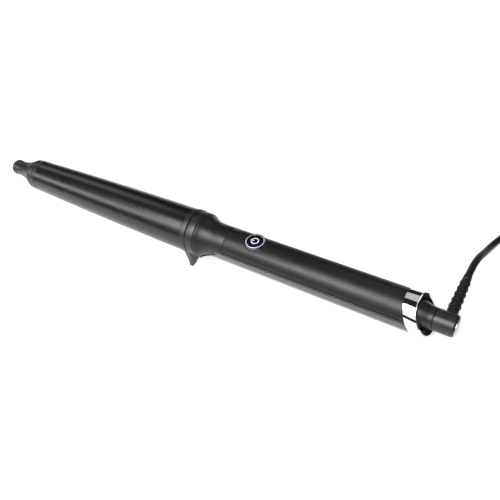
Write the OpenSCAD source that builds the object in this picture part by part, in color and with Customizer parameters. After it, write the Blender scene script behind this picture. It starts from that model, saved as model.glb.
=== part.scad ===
// Tapered curling wand with a cool tip, a footed collar, a two-shell handle and a swivelling cord.
// Each piece is drawn along X, tip at -X and swivel at +X, with X = 0 at the front of the collar.
// lie() then sets it down as it rests on a table, on its two feet and on the ring at its end.

/* [Barrel] */
// Length of the heated barrel between the cool tip and the collar
barrel_length = 141; // [110:1:170]
// Outer diameter of the barrel at the tip end
barrel_tip_d = 22.6; // [20:0.2:28]
// Outer diameter of the barrel at the collar
barrel_base_d = 27.6; // [24:0.2:34]
// How far the side of the barrel bows out of a straight taper
barrel_bow = 0.45; // [0:0.05:0.8]
// Wall of the barrel
barrel_wall = 1.5; // [1:0.1:2]

/* [Cool tip] */
// Length of the straight nub that the fingers hold
nub_length = 4.7; // [3:0.1:12]
// Diameter of the nub at its end
nub_d = 11.5; // [9:0.1:14]
// Length of the flare between the nub and the flange
flare_length = 20.5; // [12:0.5:26]
// Length of the flange that caps the barrel
flange_length = 8.5; // [7:0.5:16]
// Wall of the cool tip
tip_wall = 1.6; // [1.2:0.1:2]

/* [Collar] */
// How far the footed collar stands out from the barrel
collar_step = 0.4; // [0.2:0.1:1.5]
// Width of the footed collar
collar_width = 4.2; // [3.4:0.2:7]
// Width of the plain band behind it
band_width = 5.6; // [4:0.2:8]
// Distance from the axis to the floor under the feet
foot_reach = 20; // [18:0.5:26]
// Distance between the outer corners of the two feet
foot_span = 24; // [18:1:30]

/* [Handle] */
// Length of the flared neck in front of the handle
neck_length = 19.8; // [16:0.2:26]
// Diameter of the handle
handle_d = 20.9; // [20.4:0.1:24]
// Length of the handle from the neck to the end ring
handle_length = 106; // [98:0.5:130]
// How much deeper the lower shell is than a round handle
belly = 1.1; // [0:0.1:2]
// Height of the parting line between the two shells above the handle's middle
parting_z = 1.9; // [0:0.1:3]
// Wall of the neck and of both handle shells
shell_wall = 1.8; // [1.4:0.1:2.2]
// Distance from the neck to the middle of the button
button_inset = 18.2; // [15:0.2:24]

/* [Button] */
// Diameter of the button's cap
button_d = 9.2; // [8:0.1:10]
// Width of the clear ring that lights up round the cap
light_width = 0.75; // [0.6:0.05:1]
// Width of the rim round the light ring
bezel_width = 0.6; // [0.4:0.05:0.9]
// Height of the rim above the handle's skin
bezel_proud = 0.45; // [0.2:0.05:0.8]
// How far the button moves when it is pressed
button_travel = 0.6; // [0.3:0.1:0.7]

/* [End ring and swivel] */
// Width of the end ring, along the handle
ring_band = 6.4; // [5:0.2:9]
// How far the ring slants back towards its underside, as a share of the height
ring_slant = 0.45; // [0.3:0.01:0.5]
// How far the ring stands out from the handle
ring_step = 0.55; // [0.3:0.05:1]
// Length of the cone between the ring and the swivel
cone_length = 8.7; // [8:0.1:12]
// Diameter of the swivel
swivel_d = 11.7; // [11:0.1:14]
// Length of the swivel
swivel_length = 11.1; // [10.4:0.1:14]
// Diameter of the spindle that the swivel turns on
spindle_d = 5.8; // [5:0.1:6]

/* [Cord] */
// Diameter of the cord
cord_d = 3.8; // [3.8]
// Length of the ribbed strain relief outside the swivel
boot_length = 27.2; // [27.2]

/* [Hidden] */
// Gap between pieces that fit together and stay still
fit_gap = 0.1;
// Radial gap of the turning spindle
running_gap = 0.05;
// Seam between neighbouring outer pieces
seam = 0.1;
// Overshoot of a cut past the face that it opens
cut = 1;
smooth = 96;
fine = 48;

// Stations along X
flange_x = -barrel_length;
flare_x = flange_x - flange_length;
nub_x = flare_x - flare_length;
tip_x = nub_x - nub_length;
band_x = collar_width;
neck_x = band_x + band_width;
split_x = neck_x + neck_length;
button_x = split_x + button_inset;
ring_x = split_x + handle_length;
rear_x = ring_x + ring_band;
cone_x = rear_x + cone_length;
swivel_x = cone_x + 0.2;
end_x = swivel_x + swivel_length;

// Radii
barrel_tip_r = barrel_tip_d / 2;
barrel_base_r = barrel_base_d / 2;
collar_r = barrel_base_r + collar_step;
band_r = barrel_base_r + 0.05;
handle_r = handle_d / 2;
inner_r = handle_r - shell_wall;
ring_r = handle_r + ring_step;
ring_low = ring_r + belly;
spindle_r = spindle_d / 2;
swivel_r = swivel_d / 2;
cord_r = cord_d / 2;

// Rounding of the nub's end, and how much its waist is narrower than its end
nub_round = 1;
nub_waist = 0.3;

// Socket that carries the barrel through the collar
socket_r = 8;
socket_bore = 5;
socket_tail = split_x - 6;
spigot_length = 12;

// Heater inside the barrel
heater_start = flange_x + 13;
heater_end = -spigot_length - 2;
heater_wall = 1.4;
plate_thick = 1.6;
element_thick = 2.2;
element_length = 30;
element_count = 3;
plate_z = element_thick / 2 + fit_gap;

// Circuit board in the handle
board_start = split_x + 8.4;
board_length = 74;
board_half = 7.5;
board_bottom = 0.2;
board_thick = 1.6;
board_top = board_bottom + board_thick;
boss_r = 2.2;
boss_places = [board_start + 2.6, board_start + board_length - 2.4];
screw_r = 0.8;

// Button stack, all on one axis square to the handle
cap_r = button_d / 2;
light_r = cap_r + fit_gap + light_width;
bezel_r = light_r + fit_gap + bezel_width;
bezel_top = handle_r + bezel_proud;
cap_bottom = handle_r - 2.9;
plunger_r = 1.6;
switch_half = 3;
switch_top = board_top + 3.5;
plunger_top = switch_top + 0.9;

// End ring, cone, bush and slip rings
bore_of_ring = inner_r - 0.2;
recess_r = ring_r - 1.6;
recess_deep = 2.6;
seat_r = inner_r - 0.75;
seat_end = ring_x + 4.9;
spigot_x = ring_x - 6;
wall_x = ring_x + 1.5;
bush_r = spindle_r + 1.5;
spindle_start = ring_x - 9.5;
spindle_end = swivel_x + 3.6;
drum_start = ring_x - 9;
drum_end = ring_x - 0.2;
drum_r = spindle_r + 1.5;
contact_r = drum_r + 0.6;
contact_width = 2;
contact_places = [ring_x - 7, ring_x - 3];

// Cord exit, square to the axis
exit_x = end_x - 5;
boot_root = 3;
boot_end = swivel_r + boot_length;

// How the wand lies: on the feet near its front and on the end ring
foot_x = collar_width / 2;
ring_foot_x = rear_x + ring_slant * (ring_r + ring_low);
lie_angle = atan((foot_reach - ring_low) / (ring_foot_x - foot_x));
lift = foot_reach * cos(lie_angle) + foot_x * sin(lie_angle);
tip_end_r = nub_d / 2 - nub_round;
disc_r = swivel_r - 0.55;
low_x = tip_x * cos(lie_angle) - tip_end_r * sin(lie_angle);
high_x = end_x * cos(lie_angle) + disc_r * sin(lie_angle);
mid_shift = -(low_x + high_x) / 2;
exit_z = lift - exit_x * sin(lie_angle);
exit_lie_x = mid_shift + exit_x * cos(lie_angle);

// Coil, tie and plug, as they lie beside the swivel
coil_at = [exit_lie_x + 49, 66];
coil_columns = 3;
coil_rows = 4;
coil_outer_turn = 26.6;
coil_floor = 0.8;
coil_out_r = coil_outer_turn + cord_r;
coil_in_r = coil_out_r - coil_columns * cord_d;
coil_height = coil_rows * cord_d;
tie_width = 10;
tie_thick = 0.7;
plug_x = exit_lie_x + 75;
plug_front = 2;
plug_back = 28;
plug_thick = 13.6;
plug_half = 13;
plug_boot_end = 38;
pin_r = 2;
pin_length = 19;
pin_half_span = 9.3;

// The cord's route over the table, from the strain relief to the coil
lead_route = [
  [exit_lie_x, boot_end, exit_z],
  [exit_lie_x + 0.3, boot_end + 9, exit_z - 0.5],
  [exit_lie_x + 1.2, 50, exit_z - 2.4],
  [exit_lie_x + 2.4, 58, 4.9],
  [exit_lie_x + 4, 66, 2.5],
  [exit_lie_x + 6.2, 74, 2],
  [exit_lie_x + 9.2, 81, 2],
  [exit_lie_x + 13.6, 86.6, 2],
  [exit_lie_x + 19, 90.4, 2.2],
  [exit_lie_x + 27, coil_at[1] + coil_outer_turn - 0.3, 2.4],
  [exit_lie_x + 37, coil_at[1] + coil_outer_turn, 2.7]
];
// The rest of the route, from the top of the coil down to the plug
tail_route = [
  [plug_x + 0.6, 56, 14.1],
  [plug_x + 0.6, 52, 13.2],
  [plug_x + 0.5, 48, 10.4],
  [plug_x + 0.2, 43, 7.6],
  [plug_x, plug_boot_end, 6.8]
];

// Radius of the barrel's skin at x
function barrel_r(x) =
  let (s = (x + barrel_length) / barrel_length)
  barrel_tip_r + (barrel_base_r - barrel_tip_r) * s + barrel_bow * 4 * s * (1 - s);

// Stations from a to b in n steps
function steps(a, b, n) = [for (i = [0:n]) a + (b - a) * i / n];

// Outline of the neck's skin: a short land, then a hollow flare down to the handle
neck_land = 1;
flare_end = neck_length - 6.6;
neck_top_r = band_r - 0.2;
function neck_r(x) =
  let (s = min(1, max(0, (x - neck_x - neck_land) / (flare_end - neck_land))))
  handle_r + (neck_top_r - handle_r) * pow(1 - s, 2.8);

// Sets a piece down from the wand's own axis to its place on the table
module lie() {
  translate([mid_shift, 0, lift]) rotate([0, lie_angle, 0]) children();
}

// Everything below the table, in the wand's own axes
module below_table() {
  rotate([0, -lie_angle, 0]) translate([-mid_shift, 0, -lift]) translate([-400, -100, -60])
    cube([800, 200, 60]);
}

// Solid of revolution about X from [x, radius] points
module turned(profile, sides = smooth) {
  rotate([0, 90, 0]) rotate_extrude($fn = sides) polygon([for (p = profile) [p[1], p[0]]]);
}

// Plain tube about X
module tube_x(from, to, outer, inner, sides = fine) {
  turned([[from, inner], [to, inner], [to, outer], [from, outer]], sides);
}

// Rod about X, off the axis
module rod_x(from, to, r, y, z) {
  translate([from, y, z]) rotate([0, 90, 0]) cylinder(h = to - from, r = r, $fn = 32);
}

// Rod about the button's axis
module rod_z(low, high, r) {
  translate([button_x, 0, low]) cylinder(h = high - low, r = r, $fn = fine);
}

// Slab whose side view is the polygon, in x and z
module slab(outline, wide) {
  rotate([90, 0, 0]) linear_extrude(height = wide, center = true) polygon(outline);
}

module cool_tip() {
  color("#2b2b2c") lie() {
    r_seam = barrel_tip_r + 0.1;
    r_flange = barrel_tip_r - 0.3;
    r_nub = nub_d / 2;
    hollow = tip_wall;
    flare = [for (s = steps(0, 1, 14)) [flare_x - flare_length * s,
      r_nub - nub_waist + (r_flange - 0.3 - r_nub + nub_waist) * pow(1 - s, 1.8)]];
    end_round = [for (a = steps(90, 0, 6))
      [tip_x + nub_round * (1 - sin(a)), r_nub - nub_round * (1 - cos(a))]];
    spigot_r = barrel_tip_r - barrel_wall - fit_gap;
    bore_r = spigot_r - hollow;
    inner = concat([[tip_x + hollow, 0], [tip_x + hollow, r_nub - hollow]],
      [for (i = [14:-1:0]) [flare[i][0], min(flare[i][1] - hollow, bore_r)]],
      [[flange_x + 8, bore_r], [flange_x + 8, spigot_r], [flange_x, spigot_r]]);
    turned(concat([[tip_x, 0]], end_round,
      [for (i = [14:-1:0]) flare[i]], [[flare_x + 0.3, r_flange], [flange_x, r_seam]],
      [for (i = [len(inner) - 1:-1:0]) inner[i]]));
  }
}

module barrel() {
  color("#1c1c1e") lie() {
    outside = [for (x = steps(-barrel_length + seam, -seam, 24)) [x, barrel_r(x)]];
    inside = [[-seam, barrel_base_r - barrel_wall], [-barrel_length + seam, barrel_tip_r - barrel_wall]];
    turned(concat(outside, inside));
  }
}

// Inside radius of the barrel at x, which the heater's halves press against
function bore_r(x) =
  barrel_tip_r - barrel_wall + (barrel_base_r - barrel_tip_r) * (x + barrel_length) / barrel_length;

module heater_half() {
  a = bore_r(heater_start) - fit_gap;
  b = bore_r(heater_end) - fit_gap;
  intersection() {
    union() {
      turned([[heater_start, a - heater_wall], [heater_end, b - heater_wall], [heater_end, b],
        [heater_start, a]]);
      translate([0, 0, plate_z]) linear_extrude(height = plate_thick)
        polygon([[heater_start, -a + 0.5], [heater_end, -b + 0.5], [heater_end, b - 0.5],
          [heater_start, a - 0.5]]);
    }
    translate([heater_start, -20, plate_z]) cube([heater_end - heater_start, 40, 20]);
  }
}

module heater_upper() {
  color("#b9bcc0") lie() heater_half();
}

module heater_lower() {
  color("#b9bcc0") lie() mirror([0, 0, 1]) heater_half();
}

module heating_elements() {
  pitch = (heater_end - heater_start) / element_count;
  color("#e8e4da") lie()
    for (i = [0:element_count - 1])
      translate([heater_start + pitch * (i + 0.5), 0, 0])
        cube([element_length, 14, element_thick], center = true);
}

module thermistor() {
  color("#c9a13b") lie() rod_x(-62, -57, 1, 0, plate_z + plate_thick + 1 + fit_gap);
}

module thermal_fuse() {
  color("#d8d8d4") lie() rod_x(-34, -25, 1.8, 0, -plate_z - plate_thick - 1.8 - fit_gap);
}

module heater_leads() {
  color("#e9e6df") lie()
    for (side = [-1, 1])
      rod_x(heater_end + 0.2, board_start - 0.4, 0.7, side * 2.4, 0.9);
}

module barrel_socket() {
  front_r = barrel_base_r - barrel_wall - fit_gap;
  color("#6b5a48") lie()
    turned([[-spigot_length, socket_bore], [-spigot_length, bore_r(-spigot_length) - fit_gap],
      [-seam, front_r],
      [-seam, socket_r], [socket_tail, socket_r], [socket_tail, socket_bore]]);
}

// Front view of the two feet, in y and z
function foot_outline() =
  let (h = foot_span / 2, low = -foot_reach - 1.5)
  [[-h - 0.2, low], [-h + 3.4, low], [-h + 4.6, -foot_reach + 1.2], [0, -foot_reach + 2.6],
    [h - 4.6, -foot_reach + 1.2], [h - 3.4, low], [h + 0.2, low], [h - 0.6, -foot_reach + 4],
    [collar_r * 0.86, -collar_r * 0.5], [0, -collar_r * 0.6], [-collar_r * 0.86, -collar_r * 0.5],
    [-h + 0.6, -foot_reach + 4]];

module foot_collar() {
  bevel = 0.35;
  bore = socket_r + fit_gap;
  color("#2b2b2c") lie() difference() {
    union() {
      turned([[0, bore], [0, collar_r - bevel], [bevel, collar_r], [collar_width - seam - bevel, collar_r],
        [collar_width - seam, collar_r - bevel], [collar_width - seam, bore]]);
      intersection() {
        translate([0.4, 0, 0]) rotate([90, 0, 90]) linear_extrude(height = collar_width - 0.8)
          polygon(foot_outline());
        slab([[0, 0], [0.4, -collar_r], [foot_x - 1, -foot_reach - 3], [foot_x + 1, -foot_reach - 3],
          [collar_width - 0.4, -collar_r], [collar_width, 0]], 60);
      }
    }
    turned([[-cut, 0], [-cut, bore], [collar_width + cut, bore], [collar_width + cut, 0]]);
    below_table();
  }
}

module collar_band() {
  bevel = 0.25;
  bore = socket_r + fit_gap;
  color("#2b2b2c") lie()
    turned([[band_x, bore], [band_x, band_r - bevel], [band_x + bevel, band_r],
      [neck_x - seam - bevel, band_r], [neck_x - seam, band_r - bevel], [neck_x - seam, bore]]);
}

// The neck and the handle in one, solid, before they are hollowed and cut up
case_end = rear_x + ring_slant * (ring_r + ring_low);
module case_body() {
  flare = [for (x = steps(neck_x + neck_land, neck_x + flare_end, 16)) [x, neck_r(x)]];
  turned(concat([[neck_x, 0], [neck_x, neck_top_r - 0.1]], flare,
    [[split_x, handle_r], [case_end, handle_r], [case_end, 0]]));
}

// The room inside the neck and the handle
module case_room() {
  hollow = [for (x = steps(neck_x + 1.8, neck_x + flare_end, 12)) [x, neck_r(x) - shell_wall]];
  turned(concat([[neck_x - cut, 0], [neck_x - cut, socket_r + fit_gap],
    [neck_x + 1.8, socket_r + fit_gap]], hollow,
    [[split_x, inner_r], [case_end + cut, inner_r], [case_end + cut, 0]]));
}

// Everything between two planes that slant as the end ring does, at these stations on its top
module slanted(from, to) {
  function at(x, z) = x + ring_slant * (ring_r - z);
  slab([[at(from, 30), 30], [at(to, 30), 30], [at(to, -30), -30], [at(from, -30), -30]], 60);
}

// The lower shell runs forward under the neck along a slanting edge
underlap = 1.6;
module neck_zone(gap) {
  x = split_x - gap;
  slab([[0, 40], [x, 40], [x, parting_z], [x - 16 * underlap, parting_z - 16],
    [x - 40 * underlap, parting_z - 40], [-60, parting_z - 40]], 60);
}

module neck() {
  color("#2b2b2c") lie() difference() {
    intersection() {
      case_body();
      neck_zone(seam);
    }
    case_room();
  }
}

module handle_upper() {
  color("#2d2d2f") lie() difference() {
    intersection() {
      case_body();
      translate([split_x, -20, parting_z + seam / 2]) cube([case_end - split_x, 40, 20]);
      slanted(tip_x, ring_x - seam);
    }
    case_room();
    rod_z(0, 20, bezel_r + fit_gap);
  }
}

module handle_lower() {
  color("#101012") lie() difference() {
    union() {
      difference() {
        intersection() {
          union() {
            case_body();
            translate([0, 0, -belly]) case_body();
          }
          slanted(tip_x, ring_x - seam);
        }
        case_room();
        neck_zone(0);
        translate([tip_x, -20, parting_z - seam / 2]) cube([end_x - tip_x, 40, 40]);
      }
      for (x = boss_places)
        translate([x, 0, -handle_r + 0.8]) cylinder(h = handle_r - 0.9 + board_bottom, r = boss_r, $fn = 32);
    }
    for (x = boss_places)
      translate([x, 0, -5]) cylinder(h = 6, r = screw_r + running_gap, $fn = 32);
  }
}

module button_bezel() {
  color("#0d0d0e") lie() difference() {
    rod_z(handle_r - 3, bezel_top, bezel_r);
    rod_z(handle_r - 3 - cut, bezel_top + cut, light_r + fit_gap);
  }
}

module light_ring() {
  color("#eef0fb") lie() difference() {
    rod_z(handle_r - 3, bezel_top + 0.05, light_r);
    rod_z(handle_r - 3 - cut, bezel_top + cut, cap_r + fit_gap);
  }
}

// Place and size of the power mark that is let into the cap
mark_r = 2.4;
mark_line = 0.6;
mark_depth = 0.4;
cap_top = bezel_top - 0.05;

// The mark: a ring, open at the side towards the tip, with a bar in the gap
module mark_shape(grow) {
  difference() {
    circle(r = mark_r + grow, $fn = fine);
    circle(r = mark_r - mark_line - grow, $fn = fine);
    translate([-mark_r - cut, -0.75 + grow]) square([mark_r + cut, 1.5 - 2 * grow]);
  }
  translate([-mark_r - 0.2 - grow, -mark_line / 2 - grow]) square([2.1 + 2 * grow, mark_line + 2 * grow]);
}

module power_button() {
  color("#131314") lie() difference() {
    union() {
      rod_z(cap_bottom, cap_top, cap_r);
      rod_z(plunger_top + 0.02, cap_bottom + 0.1, 1.5);
    }
    translate([button_x, 0, cap_top - mark_depth]) linear_extrude(height = mark_depth + cut)
      mark_shape(0.02);
  }
}

module power_mark() {
  color("#eef0fb") lie()
    translate([button_x, 0, cap_top - mark_depth + 0.02]) linear_extrude(height = mark_depth)
      mark_shape(0);
}

module switch_plunger() {
  color("#8f8f8a") lie() rod_z(board_top + 1.4, plunger_top, plunger_r);
}

module tact_switch() {
  color("#232325") lie() difference() {
    translate([button_x - switch_half, -switch_half, board_top])
      cube([2 * switch_half, 2 * switch_half, switch_top - board_top]);
    rod_z(board_top + 0.6, switch_top + cut, plunger_r + fit_gap);
  }
}

module ring_leds() {
  color("#f4f1c9") lie()
    for (side = [-1, 1])
      translate([button_x + side * (cap_r + 0.45), 0, board_top + 0.35]) cube([1, 1.6, 0.7], center = true);
}

module circuit_board() {
  color("#1f6b3c") lie() difference() {
    translate([board_start, -board_half, board_bottom]) cube([board_length, 2 * board_half, board_thick]);
    for (x = boss_places)
      translate([x, 0, 0]) cylinder(h = 4, r = screw_r + 0.3, $fn = 32);
  }
}

module board_screws() {
  color("#c8c9cc") lie()
    for (x = boss_places) {
      translate([x, 0, -4.6]) cylinder(h = board_top + 4.6, r = screw_r, $fn = 32);
      translate([x, 0, board_top]) cylinder(h = 1.1, r = 1.5, $fn = 32);
    }
}

module capacitor() {
  color("#2a3f8f") lie() rod_x(board_start + 24, board_start + 36, 3, 0, board_top + 3.05);
}

module triac() {
  color("#1b1b1d") lie() translate([board_start + 42, -4, board_top + 0.05]) cube([10, 8, 3.4]);
}

module terminal_block() {
  color("#2f7f58") lie() translate([board_start + 58, -5, board_top + 0.05]) cube([9, 10, 4.6]);
}

module mains_leads() {
  color("#7a4a2b") lie()
    for (side = [-1, 1])
      rod_x(board_start + 67.1, drum_start - 1.2, 0.8, side * 3, board_top + 3.4);
}

// The ring slants, and its rear is hollowed round the cone. A sleeve carries it in the handle.
module end_ring() {
  color("#e4e6e8") lie() union() {
    difference() {
      intersection() {
        union() {
          turned([[ring_x - 1, 0], [ring_x - 1, ring_r], [case_end, ring_r], [case_end, 0]]);
          translate([0, 0, -belly])
            turned([[ring_x - 1, 0], [ring_x - 1, ring_r], [case_end, ring_r], [case_end, 0]]);
        }
        slanted(ring_x, rear_x);
      }
      turned([[ring_x - 2, 0], [ring_x - 2, bore_of_ring], [case_end + cut, bore_of_ring],
        [case_end + cut, 0]]);
      intersection() {
        turned([[ring_x - 2, 0], [ring_x - 2, recess_r], [case_end + cut, recess_r], [case_end + cut, 0]]);
        slanted(rear_x - recess_deep, case_end + 40);
      }
    }
    turned([[spigot_x, contact_r + 2.2], [spigot_x, inner_r - fit_gap], [seat_end, inner_r - fit_gap],
      [seat_end, seat_r], [wall_x, seat_r], [wall_x, contact_r + 2.2]]);
  }
}

module swivel_cone() {
  color("#2b2b2c") lie()
    turned([[wall_x + seam, bush_r], [wall_x + seam, seat_r - fit_gap], [seat_end + seam, seat_r - fit_gap],
      [seat_end + seam, inner_r - 0.4], [rear_x + 0.2, inner_r - 0.5], [rear_x + 1.8, inner_r - 0.95],
      [rear_x + 0.45 * cone_length, swivel_r + 1.15], [rear_x + 0.74 * cone_length, swivel_r + 0.32],
      [cone_x, swivel_r], [cone_x, bush_r]]);
}

module swivel_bush() {
  color("#b08d4a") lie() tube_x(wall_x + seam, cone_x - seam, bush_r - 0.02, spindle_r + running_gap);
}

module spindle() {
  color("#c8c9cc") lie() tube_x(spindle_start, spindle_end, spindle_r, spindle_r - 1);
}

module spindle_retainer() {
  color("#9a9ca0") lie() tube_x(wall_x - 1.1, wall_x - 0.1, spindle_r + 2.2, spindle_r + 0.02);
}

module slip_ring_drum() {
  color("#3a3a3c") lie() tube_x(drum_start, drum_end, drum_r, spindle_r + 0.02);
}

module slip_rings() {
  color("#c9a24a") lie()
    for (x = contact_places)
      tube_x(x - contact_width / 2, x + contact_width / 2, contact_r, drum_r + 0.02);
}

module contact_pins() {
  color("#c9a24a") lie()
    for (x = contact_places)
      translate([x, 0, contact_r + fit_gap]) cylinder(h = 1.5, r = 0.8, $fn = 32);
}

module contact_holder() {
  color("#d9d4c4") lie() difference() {
    translate([drum_start, -2.3, contact_r + 0.6]) cube([8, 4.6, 1]);
    for (x = contact_places)
      translate([x, 0, 0]) cylinder(h = 20, r = 0.82, $fn = 32);
  }
}

module swivel_body() {
  color("#2b2b2c") lie() difference() {
    turned([[swivel_x, 0], [swivel_x, swivel_r - 0.2], [swivel_x + 0.2, swivel_r],
      [end_x - 2.2, swivel_r - 0.05], [end_x - 1.2, swivel_r - 0.25], [end_x - 0.7, swivel_r - 0.6],
      [end_x - 0.7, 0]]);
    turned([[swivel_x - cut, 0], [swivel_x - cut, spindle_r + 0.02], [spindle_end + 0.1, spindle_r + 0.02],
      [spindle_end + 0.1, 3.4], [end_x - 2.4, 3.4], [end_x - 2.4, 0]]);
    turned([[end_x - 1.4, 0], [end_x - 1.4, disc_r - 0.8], [end_x + cut, disc_r - 0.8], [end_x + cut, 0]]);
    translate([exit_x, 0, 0]) rotate([-90, 0, 0]) cylinder(h = 20, r = 2.3, $fn = fine);
  }
}

module swivel_disc() {
  color("#e4e6e8") lie()
    turned([[end_x - 1.3, 0], [end_x - 1.3, disc_r - 0.9], [end_x - 0.65, disc_r - 0.9], [end_x - 0.65, disc_r],
      [end_x - 0.25, disc_r], [end_x, disc_r - 0.3], [end_x, 0]]);
}

// Ribbed sleeve round the cord, from inside the swivel to its free end
module strain_relief() {
  ribs = 9;
  pitch = (boot_length - 4) / ribs;
  start = swivel_r + 2.6;
  function skin(y) = 2.75 - 0.6 * (y - swivel_r) / boot_length;
  ridges = [for (i = [0:ribs - 1], p = [[0, -0.4], [0.2, 0], [0.7, 0], [0.9, -0.4]])
    [start + (i + p[0]) * pitch, skin(start + i * pitch) + p[1]]];
  profile = concat([[boot_root, 0], [boot_root, 2.2], [swivel_r + 0.15, 2.2], [swivel_r + 0.15, 2.75],
    [start - 0.6, 2.7]], ridges, [[boot_end, skin(boot_end) - 0.2], [boot_end, 0]]);
  color("#161617") lie() translate([exit_x, 0, 0]) rotate([-90, 0, 0])
    rotate_extrude($fn = 32) polygon([for (p = profile) [p[1], p[0]]]);
}

// One smooth pass through the route's points, with n pieces between each pair
function spline(p, a, b, c, d, t) =
  0.5 * (2 * p[b] + (p[c] - p[a]) * t + (2 * p[a] - 5 * p[b] + 4 * p[c] - p[d]) * t * t
    + (3 * p[b] - p[a] - 3 * p[c] + p[d]) * t * t * t);
function smooth_route(p, n) =
  let (last = len(p) - 1)
  concat([for (i = [0:last - 1], k = [0:n - 1])
    spline(p, max(i - 1, 0), i, i + 1, min(i + 2, last), k / n)], [p[last]]);

function unit(v) = v / norm(v);

// Tube of radius r swept along a path that never runs straight up
module swept(path, r, sides = 8) {
  last = len(path) - 1;
  ring = [for (i = [0:last])
    let (t = unit(path[min(i + 1, last)] - path[max(i - 1, 0)]), s = unit(cross(t, [0, 0, 1])),
      u = cross(s, t))
    for (k = [0:sides - 1])
      path[i] + r * (cos(360 * (k + 0.5) / sides) * s + sin(360 * (k + 0.5) / sides) * u)];
  walls = [for (i = [0:last - 1], k = [0:sides - 1])
    let (a = i * sides + k, b = i * sides + (k + 1) % sides)
    each [[a, b, b + sides], [a, b + sides, a + sides]]];
  first_cap = [for (k = [sides - 1:-1:0]) k];
  last_cap = [for (k = [0:sides - 1]) last * sides + k];
  polyhedron(points = ring, faces = concat(walls, [first_cap, last_cap]));
}

module cord_lead() {
  color("#161617") swept(smooth_route(lead_route, 3), cord_r);
}

module cord_coil() {
  color("#161617") translate([coil_at[0], coil_at[1], coil_floor]) rotate_extrude($fn = 64)
    translate([coil_in_r, 0]) square([coil_out_r - coil_in_r, coil_height]);
}

module cord_tail() {
  color("#161617") swept(smooth_route(tail_route, 3), cord_r);
}

// Strap round all the turns, at the side of the coil that faces the wand
module cord_tie() {
  near = coil_at[1] - coil_out_r - 0.2;
  far = coil_at[1] - sqrt(coil_in_r * coil_in_r - tie_width * tie_width / 4) + 0.9;
  color("#3a3a3c") difference() {
    translate([coil_at[0] - tie_width / 2, near - tie_thick, 0])
      cube([tie_width, far - near + 2 * tie_thick, coil_height + coil_floor + tie_thick + 0.1]);
    translate([coil_at[0] - tie_width, near, coil_floor - 0.1])
      cube([2 * tie_width, far - near, coil_height + 0.2]);
  }
}

module plug_boot() {
  profile = [[plug_back, 0], [plug_back, 3.4], [plug_boot_end, 2.3], [plug_boot_end, 0]];
  color("#161617") translate([plug_x, 0, plug_thick / 2]) rotate([-90, 0, 0])
    rotate_extrude($fn = 32) polygon([for (p = profile) [p[1], p[0]]]);
}

// Flat two-pin plug: wide at the pins, waisted for the fingers, narrow at the cord
module plug_body() {
  side = [[plug_half, plug_front], [plug_half, plug_front + 6], [plug_half - 3, plug_front + 12],
    [plug_half - 4, plug_back - 6], [plug_half - 7, plug_back]];
  other = [for (i = [len(side) - 1:-1:0]) [-side[i][0], side[i][1]]];
  edge = 2;
  top = plug_thick;
  color("#1d1d1f") translate([plug_x, 0, 0]) intersection() {
    linear_extrude(height = top) polygon(concat(side, other));
    rotate([90, 0, 0]) linear_extrude(height = 120, center = true)
      polygon([[-plug_half, edge], [-plug_half + edge, 0], [plug_half - edge, 0], [plug_half, edge],
        [plug_half, top - edge], [plug_half - edge, top], [-plug_half + edge, top],
        [-plug_half, top - edge]]);
  }
}

module plug_pins() {
  color("#d2d4d8") translate([plug_x, plug_front, plug_thick / 2])
    for (side = [-1, 1])
      translate([side * pin_half_span, 0, 0]) rotate([90, 0, 0]) {
        cylinder(h = pin_length - 1, r = pin_r, $fn = fine);
        translate([0, 0, pin_length - 1]) cylinder(h = 1, r1 = pin_r, r2 = pin_r - 0.8, $fn = fine);
      }
}

cool_tip();
barrel();
heater_upper();
heater_lower();
heating_elements();
thermistor();
thermal_fuse();
heater_leads();
barrel_socket();
foot_collar();
collar_band();
neck();
handle_upper();
handle_lower();
button_bezel();
light_ring();
power_button();
power_mark();
switch_plunger();
tact_switch();
ring_leds();
circuit_board();
board_screws();
capacitor();
triac();
terminal_block();
mains_leads();
end_ring();
swivel_cone();
swivel_bush();
spindle();
spindle_retainer();
slip_ring_drum();
slip_rings();
contact_pins();
contact_holder();
swivel_body();
swivel_disc();
strain_relief();
cord_lead();
cord_coil();
cord_tail();
cord_tie();
plug_boot();
plug_body();
plug_pins();
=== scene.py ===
import math

import bpy
from mathutils import Matrix, Vector


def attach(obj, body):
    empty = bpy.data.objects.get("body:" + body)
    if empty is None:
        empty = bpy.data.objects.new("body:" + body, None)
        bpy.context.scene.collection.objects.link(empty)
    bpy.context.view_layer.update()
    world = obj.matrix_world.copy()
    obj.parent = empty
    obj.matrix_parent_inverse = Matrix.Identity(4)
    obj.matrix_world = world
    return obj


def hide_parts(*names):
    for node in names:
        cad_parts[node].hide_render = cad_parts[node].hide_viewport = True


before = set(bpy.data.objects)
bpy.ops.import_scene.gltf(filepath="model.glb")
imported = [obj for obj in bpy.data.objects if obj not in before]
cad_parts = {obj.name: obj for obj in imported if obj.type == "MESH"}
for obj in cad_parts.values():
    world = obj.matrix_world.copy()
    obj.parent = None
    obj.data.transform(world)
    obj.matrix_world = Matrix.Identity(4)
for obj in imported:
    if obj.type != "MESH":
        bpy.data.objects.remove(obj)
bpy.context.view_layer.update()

MM = 0.001

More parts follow.
